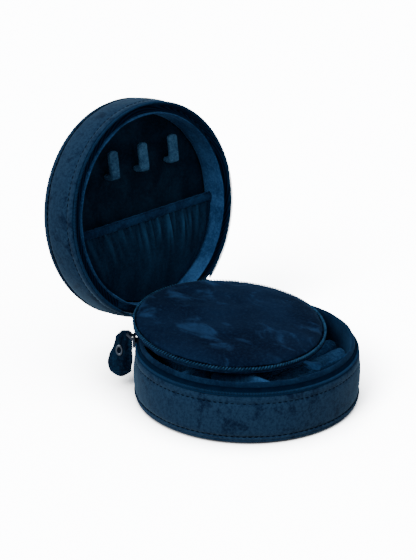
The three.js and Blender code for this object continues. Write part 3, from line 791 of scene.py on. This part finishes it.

# The lid's pocket: one piece of thin velvet gathered along its top on an elastic, held flat in a
# straight hem, and falling in soft folds to where it is glued in behind the lining's roll.
# The pocket's velvet is drawn lighter along its fold ridges, a painted highlight.
pocket_velvet = velvet(
    "pocket_velvet", (0.0008, 0.0070, 0.021), (0.0024, 0.0170, 0.045), (0.021, 0.085, 0.19),
    patch=90, low=0.35, high=0.72, stretch=(1, 0.35, 0.35), sheen=0.35, nap=0.2, grain=0.16,
    highlight_mask="ridge",
)
POCKET_EDGE_R, POCKET_Z = 51.9, 40.3
HEM_TOP, HEM_LOW, HEM_HALF, HEM_Z = 2.2, 7.3, 51.75, 39.7
LIP_HALF, LIP_Z = 51.6, 39.35
# Each fold's place across the pocket, its width and its height.
FOLDS = [(-44, 1.6, 1.2), (-38, 1.2, 0.9), (-31, 1.5, 1.5), (-25, 1.0, 0.9), (-19, 1.6, 1.4),
         (-12.5, 1.2, 1.3), (-7, 0.9, 1.1), (-1.5, 1.5, 1.9), (4.5, 0.9, 1.3), (9.5, 1.2, 1.8),
         (14, 0.8, 1.5), (18, 1.0, 2.0), (22.5, 0.7, 1.4), (26.5, 1.0, 2.1), (31, 0.8, 1.3),
         (35.5, 1.1, 1.7), (41, 1.3, 1.2), (46, 1.2, 1.0)]
heights = {}  # how far each point stands out, kept to paint a highlight on the ridges


def pocket_point(across, down):
    """The gathered cloth, in the shut lid: folds rise towards the lid's mouth and fade below."""
    y = HEM_LOW - 0.3 + (POCKET_EDGE_R - 0.6 - HEM_LOW) * down
    half = math.sqrt(max(POCKET_EDGE_R ** 2 - y * y, 4.0))
    x = (across * 2 - 1) * half
    wave = 0.0
    for centre, width, rise in FOLDS:
        drift = centre * (1 - 0.22 * down) + 1.6 * math.sin(centre + 2.6 * down)
        length = 0.35 + 0.6 * (0.5 + 0.5 * math.sin(centre * 7.7))
        fall = max(0.0, 1 - (down / length) ** 2)
        wave += rise * fall * math.exp(-((x - drift) / (width * (1 + 1.1 * down))) ** 2)
    fine = 0.3 * math.sin(x * 2.4 + 1.3 * math.sin(x * 0.31)) * math.exp(-down * 7)
    fade = (1 - down) ** 0.7 * min(1.0, 3.5 * (0.12 + down))
    rim = min(1.0, (half - abs(x)) / 5)
    slack = 1.6 * math.sin(math.pi * min(1, down * 1.1)) * rim
    heights[(across, down)] = (wave * fade * 0.55 + max(0.0, fine) * 1.1) * rim
    return x, y, POCKET_Z - (wave * fade + fine) * rim - slack


pocket = gridded("pocket_gathered_cloth", 200, 44, pocket_point)
# The painted highlight's mask: lighter where the folds stand out most.
ridge = pocket.data.attributes.new("ridge", "FLOAT", "POINT")
tall = np.array(list(heights.values()))
ridge.data.foreach_set("value", (np.clip(tall, 0, 1.15) ** 2.4).astype(np.float32))
modify(pocket, "SOLIDIFY", thickness=0.45 * MM, offset=0.0)
crowned(pocket)
fit(swung(pocket), "lid", "pocket_velvet", pocket_velvet, "pocket_cloth")


def hem_face(across, round_it):
    """The folded hem's tube: a flat oval whose long faces are slightly ruffled."""
    x = (across * 2 - 1) * HEM_HALF
    angle = math.tau * round_it
    middle = (HEM_TOP + HEM_LOW) / 2
    ruffle = 0.22 * math.sin(x * 1.9 + 0.8 * math.sin(x * 0.37))
    y = middle + (HEM_LOW - HEM_TOP) / 2 * math.cos(angle)
    z = HEM_Z + 0.85 * math.sin(angle) + ruffle * max(0.0, math.cos(angle))
    return x, y + 0.12 * math.sin(x * 1.3), z


hem_velvet = velvet(
    "hem_velvet", (0.0014, 0.0095, 0.034), (0.0045, 0.026, 0.080), (0.020, 0.080, 0.19),
    patch=110, low=0.3, high=0.72, sheen=0.5, nap=0.25, grain=0.3,
)
pocket_hem = gridded("pocket_elastic_hem", 130, 12, hem_face)
sealed(pocket_hem)
fit(swung(pocket_hem), "lid", "pocket_velvet", hem_velvet, "pocket_hem", "pocket_elastic")


def lip_face(across, round_it):
    """The thin turned edge along the hem's mouth."""
    x = (across * 2 - 1) * LIP_HALF
    angle = math.tau * round_it
    wander = 0.16 * math.sin(x * 0.9) + 0.08 * math.sin(x * 2.7)
    return (x, HEM_TOP + 0.05 + 0.42 * math.cos(angle) + wander,
            LIP_Z + 0.5 * math.sin(angle) + wander)


lip = gridded("pocket_hem_lip", 120, 8, lip_face)
sealed(lip)
fit(swung(lip), "lid", "pocket_velvet", hem_velvet)

# The hinge gusset: a strip of the lining cloth sewn inside both edges across the back, where the
# zip stops short. It is slack at its ends so that the lid can stand open; on the case it folds in
# when shut, but here it is made only as it hangs with the lid open.
GUSSET_SPAN = math.radians(34.5)
GUSSET_R, GUSSET_LOW, GUSSET_HIGH = 59.15, 26.0, 31.3
BASE_FOLD = math.radians(41)


def gusset_point(across, up):
    """A strip from the base's edge to the lid's, bowed out where the two edges part."""
    angle = (across * 2 - 1) * GUSSET_SPAN
    x, y = GUSSET_R * math.sin(angle), GUSSET_R * math.cos(angle)
    foot = Vector((x, y, GUSSET_LOW))
    head = (SWING @ (Vector((x, y, GUSSET_HIGH)) * MM)) / MM
    share = angle / GUSSET_SPAN
    hub = HINGE / MM
    slack = hub.y - 59.3 * math.cos(angle) - 1.5 * (1 - share * share)
    bisector = BASE_FOLD + math.pi / 2
    middle = Vector((x, hub.y + slack * math.cos(bisector), hub.z + slack * math.sin(bisector)))
    fold = 0.25 * math.sin(up * math.tau * 2) * share * share
    middle.y += fold
    return (foot * (2 * (up - 0.5) * (up - 1)) + middle * (4 * up * (1 - up))
            + head * (2 * up * (up - 0.5)))


gusset = gridded("hinge_gusset", 64, 14, gusset_point)
modify(gusset, "SOLIDIFY", thickness=0.5 * MM, offset=0.0)
crowned(gusset)
rumple(gusset, 0.3, 5, 51)
fit(gusset, None, "lining_velvet", pocket_velvet, "hinge_strip_base", "hinge_strip_lid")
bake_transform(gusset)

# The inner flap: a round cushion of two velvet covers over a board, domed above, with the covers
# overlocked together round the edge. It lies on the compartments, hung from the tape behind.
FLAP_HUB, FLAP_TILT = Vector((0, 13.2, 34.0)) * MM, math.radians(5)
FLAP_REST = Matrix.Translation(FLAP_HUB) @ Matrix.Rotation(FLAP_TILT, 4, "X")
RIM_R, RIM_Z, RIM_HALF_W, RIM_HALF_H, RIM_SIDES = 51.75, 2.35, 0.55, 1.15, 10
flap_velvet = velvet(
    "flap_velvet", (0.0005, 0.0040, 0.0190), (0.0120, 0.046, 0.128), (0.024, 0.078, 0.185),
    patch=62, low=0.52, high=0.72, stretch=(1.3, 0.85, 1), turn=(0, 0, 0.8), sheen=0.28, nap=0.3,
    grain=0.22,
)
flap_under = turned(
    "flap_lower_cover",
    [(0, 0.0), (30, 0.0), (48, 0.1), (51.3, 0.2), (52.45, 0.6), (52.35, 1.2), (51.3, 1.7),
     (30, 2.0), (0, 2.0)],
    levels=1,
)
rumple(flap_under, 0.35, 6, 61)
flap_under.data.transform(FLAP_REST)
fit(flap_under, "flap", "flap_velvet", flap_velvet, "flap_bottom_cover", "flap_board")
flap_top = turned(
    "flap_domed_cover",
    [(0, 2.1), (30, 2.1), (49.5, 2.1), (51.2, 2.2), (51.8, 2.7), (51.6, 3.5), (50.6, 4.3),
     (48.2, 4.9), (42, 5.5), (30, 5.9), (15, 6.1), (0, 6.15)],
    levels=0,
)
swell(flap_top, 1.8, 3.0, 0.7)
rumple(flap_top, 0.5, 16, 62)
rumple(flap_top, 0.25, 6, 63)
flap_top.data.transform(FLAP_REST)
fit(flap_top, "flap", "flap_velvet", flap_velvet, "flap_top_cover")
rim_velvet = velvet(
    "rim_velvet", (0.004, 0.020, 0.055), (0.012, 0.054, 0.125), (0.05, 0.15, 0.28),
    patch=160, low=0.3, high=0.7, sheen=0.7, nap=0.6,
)
rim = turned(
    "flap_edge_roll",
    [(RIM_R + RIM_HALF_W * math.cos(math.tau * k / RIM_SIDES),
      RIM_Z + RIM_HALF_H * math.sin(math.tau * k / RIM_SIDES)) for k in range(RIM_SIDES)],
    steps=192, levels=1,
)
rumple(rim, 0.3, 2.2, 64)
rim.data.transform(FLAP_REST)
fit(rim, "flap", "flap_velvet", collar_velvet, "flap_edge_cord")
whip = stitched("flap_whip_stitches", 51.85, 3.15, 2.9, 0.8, 190, lean=48, out=1.75)
whip.data.transform(FLAP_REST)
fit(whip, "flap", "flap_velvet", rim_velvet)

# The finger loop: a short velvet ribbon folded like a leaf and given a half twist. Its two ends
# are sewn in under the flap's front edge, and a finger hooks into it to lift the flap.
LOOP_REACH, LOOP_RISE = 10.3, 1.3
LOOP_X, LOOP_Y, LOOP_Z = 1.4, -39.3, 29.2


def ribbon_point(across, along):
    """Out along the ribbon's upper half, round its tip and back underneath, with a half twist."""
    sweep = math.pi * along
    reach = LOOP_REACH * math.sin(sweep) ** 0.8 if 0 < along < 1 else 0.0
    rise = LOOP_RISE * math.cos(sweep)
    turn = 0.9 * math.pi * along
    side = (across * 2 - 1) * (1.3 + 1.7 * math.sin(2 * sweep) ** 2)
    return (LOOP_X + side * math.cos(turn * 0.5) + 0.9 * math.sin(sweep),
            LOOP_Y - reach, LOOP_Z + rise + side * 0.5 * math.sin(turn))


ribbon = gridded("flap_ribbon_loop", 8, 32, ribbon_point)
modify(ribbon, "SOLIDIFY", thickness=0.7 * MM, offset=0.0)
crowned(ribbon)
fit(ribbon, "pull_loop", "flap_velvet", hem_velvet, "flap_pull_loop")

# The studio: a pale floor under a white surround, with broad soft lights of which the main one
# stands to the left. Close round the case the floor's colour is darkened by ambient occlusion,
# a painted contact shadow.


def lamp(name, place, strength, spread, colour):
    """A broad soft light, far enough off to light the whole floor evenly."""
    light = bpy.data.lights.new(name, "SUN")
    light.energy, light.angle, light.color = strength, math.radians(spread), colour
    holder = bpy.data.objects.new(name, light)
    holder.rotation_euler = Vector(place).to_track_quat("Z", "Y").to_euler()
    bpy.context.collection.objects.link(holder)


FLOOR_SEEN = 16.0


def seen_directly(tree, other, seen):
    """A mix that shows seen to the camera and uses other for the light that reaches the case."""
    path = tree.nodes.new("ShaderNodeLightPath")
    mix = tree.nodes.new("ShaderNodeMixShader")
    tree.links.new(path.outputs["Is Camera Ray"], mix.inputs[0])
    tree.links.new(other.outputs[0], mix.inputs[1])
    tree.links.new(seen.outputs[0], mix.inputs[2])
    return mix


def white(tree, kind, **values):
    """A shader node of the studio with its socket values set."""
    made = tree.nodes.new(kind)
    for socket, value in values.items():
        made.inputs[socket].default_value = value
    return made


floor = alone(bpy.ops.mesh.primitive_plane_add, "studio_floor", size=6)
floor.data.transform(Matrix.Translation((0, 0, -0.0002)))
paper = bpy.data.materials.new("floor_paper")
paper.use_nodes = True
paper.node_tree.nodes.remove(paper.node_tree.nodes["Principled BSDF"])
seen = white(paper.node_tree, "ShaderNodeBsdfDiffuse")
# Painted contact shadow: the floor's seen colour drops where the case stands near.
contact_shadow_ao = white(paper.node_tree, "ShaderNodeAmbientOcclusion", Distance=0.06)
shade = white(paper.node_tree, "ShaderNodeMapRange")
for socket, value in (("From Min", 0.24), ("From Max", 0.8), ("To Min", 0.9)):
    shade.inputs[socket].default_value = value
shade.inputs["To Max"].default_value = FLOOR_SEEN
paper.node_tree.links.new(contact_shadow_ao.outputs["AO"], shade.inputs["Value"])
paper.node_tree.links.new(shade.outputs["Result"], seen.inputs["Color"])
sheet = seen_directly(
    paper.node_tree,
    white(paper.node_tree, "ShaderNodeBsdfDiffuse", Color=(0.5, 0.5, 0.5, 1)),
    seen,
)
paper.node_tree.links.new(
    sheet.outputs[0], paper.node_tree.nodes["Material Output"].inputs["Surface"]
)
floor.data.materials.append(paper)
world = bpy.data.worlds.new("white_surround")
bpy.context.scene.world = world
world.use_nodes = True
sky = world.node_tree
sky.nodes.remove(sky.nodes["Background"])
surround = seen_directly(
    sky,
    white(sky, "ShaderNodeBackground", Color=(0.9, 0.95, 1, 1), Strength=0.3),
    white(sky, "ShaderNodeBackground", Color=(1, 1, 1, 1), Strength=12.0),
)
sky.links.new(surround.outputs[0], sky.nodes["World Output"].inputs["Surface"])
lamp("key_softbox", (-0.8, -0.1, 0.7), 1.7, 28, (1, 1, 1))
lamp("top_softbox", (0.1, -0.1, 1.1), 0.6, 60, (1, 1, 1))
lamp("front_fill", (-0.2, -1.1, 0.5), 0.25, 60, (0.95, 0.97, 1))

camera = bpy.data.cameras.new("camera")
camera.lens, camera.sensor_width, camera.sensor_fit = 99.65, 36.0, "AUTO"
camera.clip_start = 0.01
eye = bpy.data.objects.new("camera", camera)
eye.location = (-0.55694, -0.51508, 0.37218)
look = Vector((-0.01226, 0.01730, 0.06423)) - eye.location
eye.rotation_euler = look.to_track_quat("-Z", "Y").to_euler()
bpy.context.collection.objects.link(eye)
bpy.context.scene.camera = eye
